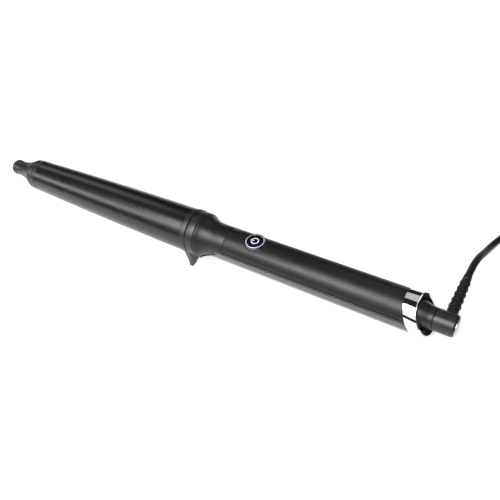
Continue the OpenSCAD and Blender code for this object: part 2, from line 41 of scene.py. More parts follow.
# --- Camera --------------------------------------------------------------------------------------
# It stands at the swivel's end, above the table, and looks back along the wand towards the tip.
# A normal lens, rolled a little, so that the wand runs down from left to right.
# The wand lies on its feet and its end ring, so its own axes are tilted to the table's. X runs
# along it from 0 at the barrel's base, to the tip at -174.7 mm and to the swivel at 162 mm.
WAND_TILT = math.radians(3.008886)
WAND = (Matrix.Translation((6.326811 * MM, 0, 20.082659 * MM))
        @ Matrix.Rotation(WAND_TILT, 4, "Y"))
CAMERA_AT = (0.178322, -0.15685, 0.21198)
CAMERA_LOOKS = Vector((-0.458292, 0.53052, -0.713104)).normalized()
CAMERA_RIGHT = CAMERA_LOOKS.cross(Vector((-0.304078, 0.66031, 0.686677))).normalized()
camera_data = bpy.data.cameras.new("camera")
camera_data.sensor_width = 36
camera_data.lens = 36.34
camera_data.clip_start = 0.01
camera = bpy.data.objects.new("camera", camera_data)
turned = Matrix((CAMERA_RIGHT, CAMERA_RIGHT.cross(CAMERA_LOOKS), -CAMERA_LOOKS)).transposed()
camera.matrix_world = WAND @ Matrix.Translation(CAMERA_AT) @ turned.to_4x4()
bpy.context.scene.collection.objects.link(camera)
bpy.context.scene.camera = camera

# --- Mains cord ----------------------------------------------------------------------------------
# Two cores in a round sheath of matte black PVC, 3.8 mm across, extruded, so its skin is even and
# faintly grained. It leaves the ribbed sleeve on the swivel, dips to the table, is wound clockwise
# into a coil of eleven turns, three wide and four high, and comes down off the top to the plug.
CORD_D = 3.8
CORD_EXIT = WAND @ Vector((157 * MM, 33.05 * MM, 0)) / MM
COIL_AT = (CORD_EXIT.x + 49, 66.0)
COIL_TURNS = 11.25
TURN_RADII = (26.6, 22.8, 19.0)
ROW_HEIGHTS = (2.7, 6.5, 10.3, 14.1)
POINTS_A_TURN = 72
LEAD_ROUTE = [
    CORD_EXIT,
    (CORD_EXIT.x + 0.2, 42, CORD_EXIT.z - 0.5),
    (CORD_EXIT.x + 0.9, 50, CORD_EXIT.z - 2),
    (CORD_EXIT.x + 1.9, 58, 6.4),
    (CORD_EXIT.x + 3.2, 66, 3.7),
    (CORD_EXIT.x + 5.4, 74, 2.3),
    (CORD_EXIT.x + 8.4, 81, 2),
    (CORD_EXIT.x + 12.9, 86.6, 2),
    (CORD_EXIT.x + 18.7, 90.4, 2.2),
    (CORD_EXIT.x + 27, 92.3, 2.4),
    (CORD_EXIT.x + 37, 92.6, 2.7),
]
TAIL_ROUTE = [
    (COIL_AT[0] + 26.6, 56, 14.1),
    (COIL_AT[0] + 26.6, 52, 13.2),
    (COIL_AT[0] + 26.5, 48, 10.4),
    (COIL_AT[0] + 26.2, 43, 7.6),
    (COIL_AT[0] + 26, 38, 6.8),
    (COIL_AT[0] + 26, 34, 6.8),
]


def ease(share):
    """Goes smoothly from 0 to 1."""
    share = min(1.0, max(0.0, share))
    return share * share * (3 - 2 * share)


def on_coil(turns):
    """The point after so many turns. Each step to the next turn or row has its own place round
    the coil, the upper rows' first, so that the turns cross over one another and not through."""
    turn = int(turns)
    row = min(turn // 3, 3)
    column = turn % 3
    order = (0, 1, 2) if row % 2 == 0 else (2, 1, 0)
    radius = TURN_RADII[order[column]]
    height = ROW_HEIGHTS[row]
    climbs = column == 2
    stage = (5 if climbs else 6) - 2 * row
    step = ease((turns - turn - stage / 8) / 0.25)
    if climbs and row < 3:
        height += (ROW_HEIGHTS[row + 1] - height) * step
    elif not climbs:
        radius += (TURN_RADII[order[column + 1]] - radius) * step
    angle = math.tau * (0.25 - turns)
    return Vector((COIL_AT[0] + radius * math.cos(angle), COIL_AT[1] + radius * math.sin(angle),
                   height))


def through(points, pieces=8):
    """A smooth line through the points, with so many pieces between each pair."""
    points = [Vector(p) for p in points]
    line = []
    for i in range(len(points) - 1):
        a, b, c, d = (points[min(max(k, 0), len(points) - 1)] for k in range(i - 1, i + 3))
        for k in range(pieces):
            t = k / pieces
            line.append(
                (b * 2 + (c - a) * t + (a * 2 - b * 5 + c * 4 - d) * t**2
                 + (b * 3 - a - c * 3 + d) * t**3) / 2
            )
    return [*line, points[-1]]


wound = [on_coil(i / POINTS_A_TURN) for i in range(int(COIL_TURNS * POINTS_A_TURN) + 1)]
cord_line = [
    *through([*LEAD_ROUTE, wound[0], wound[4]])[:-8],
    *wound[1:-1],
    *through([wound[-5], wound[-1], *TAIL_ROUTE])[8:],
]
cord_curve = bpy.data.curves.new("mains_cord", "CURVE")
cord_curve.dimensions = "3D"
cord_curve.bevel_depth = CORD_D / 2 * MM
cord_curve.bevel_resolution = 6
cord_curve.use_fill_caps = True
spline = cord_curve.splines.new("POLY")
spline.points.add(len(cord_line) - 1)
for point, place in zip(spline.points, cord_line):
    point.co = (*place * MM, 1)
cord = bpy.data.objects.new("mains_cord", cord_curve)
bpy.context.scene.collection.objects.link(cord)


def linear(hex_colour):
    """An sRGB hex colour as linear red, green, blue and alpha."""
    parts = [int(hex_colour[i:i + 2], 16) / 255 for i in (1, 3, 5)]
    return (*(c / 12.92 if c <= 0.04045 else ((c + 0.055) / 1.055) ** 2.4 for c in parts), 1)


def node(tree, kind, links, **settings):
    """Adds a shader node with its settings, and sets or links its inputs."""
    made = tree.nodes.new("ShaderNode" + kind)
    for name, value in settings.items():
        setattr(made, name, value)
    for name, value in links.items():
        if isinstance(value, bpy.types.NodeSocket):
            tree.links.new(value, made.inputs[name])
        else:
            made.inputs[name].default_value = value
    return made


def finish(name, **shader):
    """A new material, with its shader's own sockets set: its tree, shader and object coordinates."""
    made = bpy.data.materials.new(name)
    made.use_nodes = True
    tree = made.node_tree
    principled = tree.nodes["Principled BSDF"]
    for socket, value in shader.items():
        principled.inputs[socket.replace("_", " ")].default_value = value
    coords = tree.nodes.new("ShaderNodeTexCoord").outputs["Object"]
    return made, tree, principled, coords


def moulded(name, dark, light, roughness, patch, grain, depth, **shader):
    """A finish whose colour and gloss drift over patches, with an even grain. Sizes in mm."""
    made, tree, principled, coords = finish(name, **shader)
    drift = node(tree, "TexNoise", {"Vector": coords, "Scale": 1000 / patch, "Detail": 3.0})
    tone = node(tree, "Mix", {"Factor": drift.outputs["Fac"], "A": linear(dark),
                              "B": linear(light)}, data_type="RGBA")
    tree.links.new(tone.outputs["Result"], principled.inputs["Base Color"])
    gloss = node(tree, "MapRange", {"Value": drift.outputs["Fac"], "From Min": 0.3,
                                    "From Max": 0.7, "To Min": roughness[0],
                                    "To Max": roughness[1]})
    tree.links.new(gloss.outputs["Result"], principled.inputs["Roughness"])
    pits = node(tree, "TexNoise", {"Vector": coords, "Scale": 1000 / grain, "Detail": 2.0})
    bump = node(tree, "Bump", {"Height": pits.outputs["Fac"], "Strength": 0.6,
                               "Distance": depth * MM})
    tree.links.new(bump.outputs["Normal"], principled.inputs["Normal"])
    return made


# Matte PVC: nearly black, with a soft wide highlight along it.
cord_pvc = moulded("matte_pvc_sheath", "#0c0c0d", "#121213", (0.4, 0.5), 9, 0.6, 0.03,
                   IOR=1.5, Specular_IOR_Level=0.45)
cord_curve.materials.append(cord_pvc)
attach(cord, "swivel")
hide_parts("cord_lead", "cord_coil", "cord_tail")


# --- Plug ----------------------------------------------------------------------------------------
# A flat two-pin mains plug, one solid moulding of satin black plastic round two nickelled brass
# pins 18.6 mm apart. Its waist is where the fingers hold, and the pins wear black sleeves.
def clear():
    """Leaves nothing selected."""
    for selected in bpy.context.selected_objects:
        selected.select_set(False)


def lathe(name, profile, steps=96):
    """Turns a profile of (along, radius) points in mm about the X axis, as on a lathe."""
    clear()
    bpy.context.tool_settings.mesh_select_mode = (True, False, False)
    bpy.ops.mesh.primitive_plane_add(size=MM)
    piece = bpy.context.object
    piece.name = piece.data.name = name
    bpy.ops.object.mode_set(mode="EDIT")
    bpy.ops.mesh.select_all(action="SELECT")
    bpy.ops.mesh.merge(type="CENTER")
    bpy.ops.transform.translate(value=(profile[0][0] * MM, 0, profile[0][1] * MM))
    for (x0, r0), (x1, r1) in zip(profile, profile[1:]):
        bpy.ops.mesh.extrude_region_move(
            TRANSFORM_OT_translate={"value": ((x1 - x0) * MM, 0, (r1 - r0) * MM)})
    bpy.ops.mesh.select_all(action="SELECT")
    bpy.ops.mesh.spin(steps=steps, angle=math.tau, center=(0, 0, 0), axis=(1, 0, 0))
    bpy.ops.mesh.select_all(action="SELECT")
    bpy.ops.mesh.remove_doubles(threshold=1e-6)
    bpy.ops.mesh.normals_make_consistent(inside=False)
    bpy.ops.object.mode_set(mode="OBJECT")
    return piece


def alone(piece):
    """Selects this piece only."""
    clear()
    piece.select_set(True)
    bpy.context.view_layer.objects.active = piece


def soften(piece, width, segments=3, limit=25, smooth=35):
    """Rounds the sharp edges by a width in mm, and shades what is gentler than that smooth."""
    alone(piece)
    bevel = piece.modifiers.new("edges", "BEVEL")
    bevel.width = width * MM
    bevel.segments = segments
    bevel.limit_method = "ANGLE"
    bevel.angle_limit = math.radians(limit)
    bpy.ops.object.modifier_apply(modifier=bevel.name)
    bpy.ops.object.shade_smooth_by_angle(angle=math.radians(smooth))
    return piece


def settle(piece, place):
    """Puts the piece in its place, and leaves its object at the origin, unturned and unscaled."""
    alone(piece)
    piece.matrix_world = place
    bpy.ops.object.transform_apply(location=True, rotation=True, scale=True)
    return piece


def joined(first, *others):
    """One piece from several."""
    alone(first)
    for other in others:
        other.select_set(True)
    bpy.ops.object.join()
    return first


def fit(piece, material, body, slot, *nodes):
    """Paints the piece, and lets it ride on its body in place of its CAD nodes."""
    if not piece.data.materials:
        piece.data.materials.append(material)
    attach(piece, body)
    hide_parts(*nodes)
    return piece


PLUG_AT = (COIL_AT[0] + 26, 2, 6.8)
PLUG_THICK = 13.6
PLUG_OUTLINE = [(13, 0), (13, 6), (10, 12), (9, 20), (6, 26)]
PIN_SPAN = 9.3
clear()
bpy.ops.mesh.primitive_cube_add(size=MM)
plug = bpy.context.object
plug.name = plug.data.name = "mains_plug"
half_width = PLUG_OUTLINE[0][0]
bpy.ops.object.mode_set(mode="EDIT")
bpy.ops.transform.resize(value=(2 * half_width, PLUG_OUTLINE[1][1], PLUG_THICK),
                         center_override=(0, 0, 0))
bpy.ops.transform.translate(value=(0, PLUG_OUTLINE[1][1] / 2 * MM, 0))
bpy.ops.object.mode_set(mode="OBJECT")
for (w0, y0), (w1, y1) in zip(PLUG_OUTLINE[1:], PLUG_OUTLINE[2:]):
    for face in plug.data.polygons:
        face.select = face.center.y > (y0 - 0.01) * MM and face.normal.y > 0.9
    bpy.ops.object.mode_set(mode="EDIT")
    bpy.context.tool_settings.mesh_select_mode = (False, False, True)
    bpy.ops.mesh.extrude_region_move(TRANSFORM_OT_translate={"value": (0, (y1 - y0) * MM, 0)})
    bpy.ops.transform.resize(value=(w1 / w0, 1, 1), center_override=(0, 0, 0))
    bpy.ops.object.mode_set(mode="OBJECT")
soften(plug, 1.9, 5, 20, 50)
grips = []
for i in range(5):
    for side in (-1, 1):
        clear()
        bpy.ops.mesh.primitive_cube_add(size=1)
        grip = bpy.context.object
        grip.scale = (1.2 * MM, 0.9 * MM, 7.6 * MM)
        grip.location = (side * (9.55 - 0.12 * i) * MM, (10.8 + 2.1 * i) * MM, 0)
        bpy.ops.object.transform_apply(location=True, rotation=True, scale=True)
        grips.append(soften(grip, 0.3, 2))
joined(plug, *grips)
settle(plug, Matrix.Translation([v * MM for v in PLUG_AT]))
# Moulded PVC with a fine spark-eroded grain, a touch shinier than the cord.
plug_pvc = moulded("moulded_pvc_plug", "#161617", "#1e1e20", (0.36, 0.46), 14, 0.5, 0.03,
                   IOR=1.5)
fit(plug, plug_pvc, "swivel", "plug_black", "plug_body")

TOWARDS_SOCKET = Matrix.Rotation(math.radians(-90), 4, "Z")
pins = []
for side in (-1, 1):
    place = (Matrix.Translation([(PLUG_AT[0] + side * PIN_SPAN) * MM, PLUG_AT[1] * MM,
                                 PLUG_AT[2] * MM]) @ TOWARDS_SOCKET)
    tip = lathe("pin", [(9.6, 0), (9.6, 2), (17.4, 2), (18.5, 1.6), (19, 0.8), (19, 0)], 32)
    sleeve = lathe("sleeve", [(-0.4, 0), (-0.4, 1.96), (9.7, 1.96), (9.9, 1.8), (9.9, 0)], 32)
    pins.append((settle(soften(tip, 0.2, 3), place), settle(soften(sleeve, 0.1, 2), place)))
plug_tips = joined(pins[0][0], pins[1][0])
plug_tips.name = plug_tips.data.name = "plug_pin_tips"
plug_sleeves = joined(pins[0][1], pins[1][1])
plug_sleeves.name = plug_sleeves.data.name = "plug_pin_sleeves"
# Nickel plate on brass, drawn and barrelled: bright, with a faint haze of fine scratches.
nickel = moulded("nickel_plate", "#b9b4a8", "#cfcbc0", (0.16, 0.28), 3, 0.4, 0.01, Metallic=1.0)
fit(plug_tips, nickel, "swivel", "bright_steel", "plug_pins")
fit(plug_sleeves, plug_pvc, "swivel", "plug_black", "plug_pins")

# The short moulded neck that eases the cord into the plug, with three grooves round it.
neck_line = [(0, 0), (0, 3.4)]
for i in range(4):
    neck_line += [(1.2 + 2.2 * i, 3.35 - 0.24 * i), (1.7 + 2.2 * i, 2.85 - 0.2 * i),
                  (2.3 + 2.2 * i, 2.85 - 0.2 * i), (2.8 + 2.2 * i, 3.2 - 0.24 * i)]
neck_line += [(10, 2.3), (10, 0)]
plug_neck = soften(lathe("plug_neck", neck_line, 48), 0.15, 2)
settle(plug_neck, Matrix.Translation([PLUG_AT[0] * MM, 28 * MM, PLUG_AT[2] * MM])
       @ Matrix.Rotation(math.radians(90), 4, "Z"))
fit(plug_neck, cord_pvc, "swivel", "cord_rubber", "plug_boot")


# --- Tie -----------------------------------------------------------------------------------------
# A hook-and-loop strap of woven black nylon, 10 mm wide, closed on itself round all the turns of
# the coil. It lies flat on the cord and holds the coil together.
TIE_WIDE = 10
TIE_THICK = 0.7
TIE_LOW, TIE_HIGH = 0.35, 16.45
TIE_NEAR, TIE_FAR = 36.95, 50.6


def strap(name, loop):
    """A band through the (y, z) points of a loop, as wide as the tie."""
    clear()
    bpy.context.tool_settings.mesh_select_mode = (True, False, False)
    bpy.ops.mesh.primitive_plane_add(size=MM)
    piece = bpy.context.object
    piece.name = piece.data.name = name
    bpy.ops.object.mode_set(mode="EDIT")
    bpy.ops.mesh.select_all(action="SELECT")
    bpy.ops.mesh.merge(type="CENTER")
    bpy.ops.transform.translate(value=((COIL_AT[0] - TIE_WIDE / 2) * MM, loop[0][0] * MM,
                                       loop[0][1] * MM))
    for (y0, z0), (y1, z1) in zip(loop, loop[1:]):
        bpy.ops.mesh.extrude_region_move(
            TRANSFORM_OT_translate={"value": (0, (y1 - y0) * MM, (z1 - z0) * MM)})
    bpy.ops.mesh.select_all(action="SELECT")
    for _ in range(10):
        bpy.ops.mesh.extrude_region_move(
            TRANSFORM_OT_translate={"value": (TIE_WIDE / 10 * MM, 0, 0)})
    bpy.ops.mesh.select_all(action="SELECT")
    bpy.ops.mesh.remove_doubles(threshold=1e-6)
    bpy.ops.mesh.normals_make_consistent(inside=False)
    bpy.ops.object.mode_set(mode="OBJECT")
    shell = piece.modifiers.new("thickness", "SOLIDIFY")
    shell.thickness = TIE_THICK * MM
    shell.offset = 0
    alone(piece)
    bpy.ops.object.modifier_apply(modifier=shell.name)
    return soften(piece, 0.2, 2, 50, 40)


ROUND = 2.6
middle_y, middle_z = (TIE_NEAR + TIE_FAR) / 2, (TIE_LOW + TIE_HIGH) / 2
loop = []
for corner, (sy, sz) in enumerate([(1, 1), (-1, 1), (-1, -1), (1, -1)]):
    cy = middle_y + sy * ((TIE_FAR - TIE_NEAR) / 2 - ROUND)
    cz = middle_z + sz * ((TIE_HIGH - TIE_LOW) / 2 - ROUND)
    for k in range(7):
        angle = math.radians(90 * corner + 15 * k)
        loop.append((cy + ROUND * math.cos(angle), cz + ROUND * math.sin(angle)))
tie = strap("cord_tie_strap", [*loop, loop[0]])
# Woven nylon: threads 0.5 mm apart over and under, dull, with a slight sheen at the edges.
tie_nylon, tree, principled, coords = finish("woven_nylon", Roughness=0.85, Sheen_Weight=0.3,
                                             Specular_IOR_Level=0.3)
warp = node(tree, "TexWave", {"Vector": coords, "Scale": 320.0, "Distortion": 0.4},
            bands_direction="X")
weft = node(tree, "TexWave", {"Vector": coords, "Scale": 320.0, "Distortion": 0.4},
            bands_direction="Y")
weave = node(tree, "Math", {0: warp.outputs["Fac"], 1: weft.outputs["Fac"]}, operation="MULTIPLY")
cloth = node(tree, "Mix", {"Factor": weave.outputs["Value"], "A": linear("#1a1a1c"),
                           "B": linear("#3a3a3d")}, data_type="RGBA")
tree.links.new(cloth.outputs["Result"], principled.inputs["Base Color"])
threads = node(tree, "Bump", {"Height": weave.outputs["Value"], "Strength": 0.8,
                              "Distance": 0.15 * MM})
tree.links.new(threads.outputs["Normal"], principled.inputs["Normal"])
fit(tie, tie_nylon, "swivel", "tie_fabric", "cord_tie")

# --- Strain relief -------------------------------------------------------------------------------
# A tapered sleeve of soft black PVC, moulded onto the cord where it leaves the swivel. Slots are
# cut into it from two sides in turn, so it stays as a spine with ribs standing out in two
# staggered rows, and bends evenly.
EXIT_X = 157.0
SWIVEL_R = 5.85
BOOT_LONG = 27.2
RIB_PITCH = 2.05
sleeve_line = [(3, 0), (3, 2.15), (SWIVEL_R + 0.2, 2.15), (SWIVEL_R + 0.2, 2.8),
               (SWIVEL_R + 1.5, 2.8), (SWIVEL_R + 1.9, 2.15), (SWIVEL_R + BOOT_LONG - 3.2, 1.96),
               (SWIVEL_R + BOOT_LONG - 3, 2.25), (SWIVEL_R + BOOT_LONG, 2.15),
               (SWIVEL_R + BOOT_LONG, 0)]
boot = soften(lathe("strain_relief_sleeve", sleeve_line, 48), 0.15, 2)
ribs = []
for i in range(11):
    along = SWIVEL_R + 2.5 + RIB_PITCH * i
    rib_r = 2.85 - 0.055 * i
    rib = lathe("rib", [(along - 0.45, 1.5), (along - 0.45, rib_r - 0.05), (along - 0.3, rib_r),
                        (along + 0.3, rib_r), (along + 0.45, rib_r - 0.05), (along + 0.45, 1.5),
                        (along - 0.45, 1.5)], 40)
    ribs.append(soften(rib, 0.08, 1))
    for quarter in range(4):
        if i == 10:
            break
        clear()
        bpy.ops.mesh.primitive_cube_add(size=1)
        stud = bpy.context.object
        stud.scale = ((RIB_PITCH - 0.5) * MM, 1.5 * MM, 1.5 * MM)
        bpy.ops.object.transform_apply(location=True, rotation=True, scale=True)
        soften(stud, 0.3, 2)
        turned = math.radians(90 * quarter + 45 + (45 if i % 2 else 0))
        settle(stud, Matrix.Translation(((along + RIB_PITCH / 2) * MM, 0, 0))
               @ Matrix.Rotation(turned, 4, "X")
               @ Matrix.Translation((0, 0, (rib_r - 0.5) * MM)))
        ribs.append(stud)
joined(boot, *ribs)
settle(boot, WAND @ Matrix.Translation((EXIT_X * MM, 0, 0))
       @ Matrix.Rotation(math.radians(90), 4, "Z"))
fit(boot, cord_pvc, "swivel", "cord_rubber", "strain_relief")

# --- Swivel --------------------------------------------------------------------------------------
# The turning end that the cord leaves from: a short drum of satin black plastic, closed by a
# bright disc whose rim shows at the back, behind a hollow cone that belongs to the handle.
SWIVEL_X = 150.9
END_X = 162.0
drum = soften(lathe("swivel_drum", [
    (SWIVEL_X, 0), (SWIVEL_X, SWIVEL_R - 0.1), (SWIVEL_X + 0.12, SWIVEL_R),
    (END_X - 2.2, SWIVEL_R - 0.02), (END_X - 1.3, SWIVEL_R - 0.12), (END_X - 0.8, SWIVEL_R - 0.4),
    (END_X - 0.7, SWIVEL_R - 0.7), (END_X - 0.7, SWIVEL_R - 1.4), (END_X - 1.3, SWIVEL_R - 1.4),
    (END_X - 1.3, 0)]), 0.12, 3)
settle(drum, WAND)
# Moulded glass-filled nylon, spark-eroded: charcoal, with a wide soft highlight.
satin_nylon = moulded("satin_glass_filled_nylon", "#121213", "#18181a", (0.34, 0.42), 12, 0.4,
                      0.02, IOR=1.52)
fit(drum, satin_nylon, "swivel", "satin_black", "swivel_body")
disc = soften(lathe("swivel_end_disc", [
    (END_X - 1.25, 0), (END_X - 1.25, SWIVEL_R - 1.5), (END_X - 0.65, SWIVEL_R - 1.5),
    (END_X - 0.65, SWIVEL_R - 0.6), (END_X - 0.3, SWIVEL_R - 0.6), (END_X, SWIVEL_R - 0.9),
    (END_X, SWIVEL_R - 1.7), (END_X - 0.15, SWIVEL_R - 1.9), (END_X - 0.15, 0)]), 0.08, 3)
settle(disc, WAND)
# Bright chrome over nickel on moulded ABS: a mirror with the slightest drift in its polish.
chrome = moulded("bright_chrome_plate", "#dfe0e2", "#eceded", (0.04, 0.08), 8, 4, 0.002,
                 Metallic=1.0)
# The disc is plated over a blasted face, so it shines evenly and does not mirror.
satin_chrome = moulded("satin_chrome_plate", "#b4b5b8", "#c6c7ca", (0.26, 0.34), 4, 0.3, 0.006,
                       Metallic=1.0)
fit(disc, satin_chrome, "swivel", "chrome_ring", "swivel_disc")

REAR_X = 142.0
cone = soften(lathe("swivel_cone_cover", [
    (REAR_X - 4.4, 5.0), (REAR_X - 4.4, 7.5), (REAR_X - 1.4, 7.5), (REAR_X - 1.4, 7.95),
    (REAR_X + 0.2, 7.9), (REAR_X + 1.8, 7.45), (REAR_X + 3.9, 6.98), (REAR_X + 5.2, 6.5),
    (REAR_X + 6.5, 6.15), (REAR_X + 7.7, 5.93), (REAR_X + 8.7, SWIVEL_R), (REAR_X + 8.7, 4.6),
    (REAR_X - 4.4, 5.0)]), 0.1, 2, 30, 45)
settle(cone, WAND)
fit(cone, satin_nylon, "wand", "satin_black", "swivel_cone")


# --- End ring ------------------------------------------------------------------------------------
# A bright chrome collar round the end of the handle, plated over moulded plastic. It slants back
# towards its underside, its edges are rounded over, and its rear is hollowed round the cone.
def refined(name, source, width, segments=3, limit=30, smooth=40):
    """A copy of a CAD node with its edges rounded by a width in mm."""
    clear()
    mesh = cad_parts[source].data.copy()
    mesh.name = name
    mesh.materials.clear()
    piece = bpy.data.objects.new(name, mesh)
    bpy.context.scene.collection.objects.link(piece)
    alone(piece)
    bpy.ops.mesh.customdata_custom_splitnormals_clear()
    bpy.ops.object.mode_set(mode="EDIT")
    bpy.ops.mesh.select_all(action="SELECT")
    bpy.ops.mesh.remove_doubles(threshold=2e-6)
    bpy.ops.mesh.dissolve_limited(angle_limit=math.radians(0.3))
    bpy.ops.mesh.normals_make_consistent(inside=False)
    bpy.ops.object.mode_set(mode="OBJECT")
    soften(piece, width, segments, limit, smooth)
    return settle(piece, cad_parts[source].matrix_world.copy())


def mask(piece, frame_in, reach):
    """Gives the second material to the faces that lie within a radius, in mm, of the X axis."""
    for face in piece.data.polygons:
        corners = [frame_in @ piece.data.vertices[v].co for v in face.vertices]
        radii = [math.hypot(c.y, c.z) / MM for c in corners]
        if max(radii) <= reach:
            face.material_index = 1


RECESS_REACH = 9.6
end_ring = refined("chrome_end_ring", "end_ring", 0.45, 4)
# The plating is masked off inside the hollow, which stays satin black.
end_ring.data.materials.append(chrome)
end_ring.data.materials.append(satin_nylon)
mask(end_ring, WAND.inverted(), RECESS_REACH)
fit(end_ring, chrome, "wand", "chrome_ring", "end_ring")


# --- Handle --------------------------------------------------------------------------------------
# Two moulded shells with a flared neck in front. The neck and the upper shell have a matte
# soft-touch coat; the lower shell is polished black, and its front runs on under the neck.
def coat(material, *names):
    """Gives CAD nodes a material."""
    for name in names:
        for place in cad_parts[name].material_slots:
            place.material = material


# Soft-touch lacquer: dark charcoal, no gloss, with a velvety broad highlight.
soft_touch = moulded("soft_touch_lacquer", "#0c0c0d", "#101011", (0.36, 0.42), 16, 0.35, 0.03,
                     IOR=1.4, Specular_IOR_Level=0.6)
neck = refined("handle_neck", "neck", 0.15)
fit(neck, soft_touch, "wand", "soft_black", "neck")
upper_shell = refined("handle_upper_shell", "handle_upper", 0.15)
upper_shell.data.materials.append(soft_touch)
# Near-black strips fill the joints round the upper shell, a little below its skin: painted shade,
# standing in for the shadow in the grooves at the neck seam and along the parting line.
groove_shade_black = moulded("groove_shade_black", "#020202", "#040404", (0.7, 0.8), 5, 0.4, 0.02,
                      Specular_IOR_Level=0.2)
NECK_SEAM_X = 29.55
SHELL_END_X = 139.4
PARTING_Z = 1.9
SHADE_ROD_R = 0.42
SHADE_ROD_Y = 10.1
# A ring of painted shade in the seam between the neck and the upper shell.
shade_strips = [lathe("neck_seam_shade", [(NECK_SEAM_X + 0.2 * math.cos(a), 10.32 + 0.2 * math.sin(a))
                             for a in (math.radians(45 * k) for k in range(9))], 96)]
settle(shade_strips[0], WAND @ Matrix.Translation((0, 0, 0.1 * MM)))
# Rods of painted shade along the parting line, one on each side.
for side in (-1, 1):
    shade_strip = lathe("parting_line_shade", [(NECK_SEAM_X + 0.25, 0), (NECK_SEAM_X + 0.25, SHADE_ROD_R),
                              (SHELL_END_X, SHADE_ROD_R), (SHELL_END_X, 0)], 12)
    settle(shade_strip, WAND @ Matrix.Translation((0, side * SHADE_ROD_Y * MM, (PARTING_Z + 0.1) * MM)))
    shade_strips.append(shade_strip)
for shade_strip in shade_strips:
    shade_strip.data.materials.append(groove_shade_black)
    alone(shade_strip)
    bpy.ops.object.shade_smooth_by_angle(angle=math.radians(50))
joined(upper_shell, *shade_strips)
fit(upper_shell, soft_touch, "wand", "soft_black", "handle_upper")
# Polished ABS: black, almost a mirror, with the faint waviness of a moulded skin.
gloss_abs = moulded("polished_abs", "#060607", "#09090a", (0.05, 0.09), 20, 6, 0.004,
                    IOR=1.6, Coat_Weight=1.0, Coat_Roughness=0.04)
lower_shell = refined("handle_lower_shell", "handle_lower", 0.35)
# Its upper edges are rolled over into a smooth bead that stands a little proud on both sides.
BEAD_X = 24
BEAD_R = 1.3
BEAD_Y = 9.5
beads = []
for side in (-1, 1):
    bead = lathe("bead", [(BEAD_X, 0), (BEAD_X + 0.2, 0.8), (BEAD_X + 0.6, 1.15),
                          (BEAD_X + 1.2, BEAD_R), (SHELL_END_X - 0.1, BEAD_R),
                          (SHELL_END_X - 0.1, 0)], 32)
    settle(bead, WAND @ Matrix.Translation((0, side * BEAD_Y * MM, (PARTING_Z - 1.45) * MM)))
    alone(bead)
    bpy.ops.object.shade_smooth_by_angle(angle=math.radians(50))
    beads.append(bead)
joined(lower_shell, *beads)
fit(lower_shell, gloss_abs, "wand", "gloss_black", "handle_lower")

# --- Button --------------------------------------------------------------------------------------
# A round push button in a slightly raised rim, both polished black, with a clear ring between
# them that a lamp inside lights a cool white. The power mark in the cap lights the same way.
BUTTON_X = 47.8
BUTTON = WAND @ Matrix.Translation((BUTTON_X * MM, 0, 0)) @ Matrix.Rotation(
    math.radians(-90), 4, "Y")
BEZEL_LOW, BEZEL_TOP = 7.6, 10.9
bezel = soften(lathe("button_rim", [
    (BEZEL_LOW, 5.55), (BEZEL_LOW, 6.05), (BEZEL_TOP - 0.25, 6.05), (BEZEL_TOP - 0.05, 5.9),
    (BEZEL_TOP, 5.75), (BEZEL_TOP - 0.05, 5.62), (BEZEL_TOP - 0.2, 5.55),
    (BEZEL_LOW, 5.55)]),
    0.05, 2, 40, 50)
settle(bezel, BUTTON)
fit(bezel, gloss_abs, "wand", "gloss_black", "button_bezel")
lamp_ring = soften(lathe("button_light_ring", [
    (BEZEL_LOW, 4.7), (BEZEL_LOW, 5.45), (BEZEL_TOP - 0.25, 5.45), (BEZEL_TOP - 0.12, 5.36),
    (BEZEL_TOP - 0.08, 5.08), (BEZEL_TOP - 0.12, 4.8), (BEZEL_TOP - 0.25, 4.7),
    (BEZEL_LOW, 4.7)]),
    0.05, 2, 40, 50)
settle(lamp_ring, BUTTON)
# Diffusing polycarbonate, lit from inside: cool white, a little dimmer between the two lamps.
lit, tree, principled, coords = finish("lit_polycarbonate", Roughness=0.3, IOR=1.58,
                                       Emission_Strength=0.32)
glow = node(tree, "TexNoise", {"Vector": coords, "Scale": 180.0, "Detail": 2.0})
tint = node(tree, "Mix", {"Factor": glow.outputs["Fac"], "A": linear("#9aa0c4"),
                          "B": linear("#d2d5ea")}, data_type="RGBA")
tree.links.new(tint.outputs["Result"], principled.inputs["Base Color"])
tree.links.new(tint.outputs["Result"], principled.inputs["Emission Color"])
lamp_ring.data.materials.append(lit)
lamp_ring.data.materials.append(gloss_abs)
# Its inner edge is painted black, so only a narrow circle of light shows.
mask(lamp_ring, BUTTON.inverted(), 5.1)
fit(lamp_ring, lit, "wand", "light_guide", "light_ring")
coat(lit, "power_mark", "ring_leds")
# The cap itself is a little less shiny, so that it stays black beside the light.
button_abs = moulded("satin_button_abs", "#050506", "#080809", (0.22, 0.28), 6, 0.8, 0.006,
                     Specular_IOR_Level=0.3)
button_cap = refined("button_cap", "power_button", 0.2)
fit(button_cap, button_abs, "button", "gloss_black", "power_button")

# --- Collar --------------------------------------------------------------------------------------
# The heat-resistant ring that carries the barrel, with two short feet on its underside that keep
# the hot barrel off the table, and a plain band behind it. Moulded, satin charcoal.
collar_band = soften(lathe("collar_rear_band", [
    (4.2, 8.1), (4.2, 13.65), (4.4, 13.85), (9.45, 13.85), (9.7, 13.6), (9.7, 8.1), (4.2, 8.1)]),
    0.1, 2, 30, 45)
settle(collar_band, WAND)
fit(collar_band, satin_nylon, "wand", "satin_black", "collar_band")
foot_collar = refined("foot_collar_moulding", "foot_collar", 0.35)
fit(foot_collar, satin_nylon, "wand", "satin_black", "foot_collar")

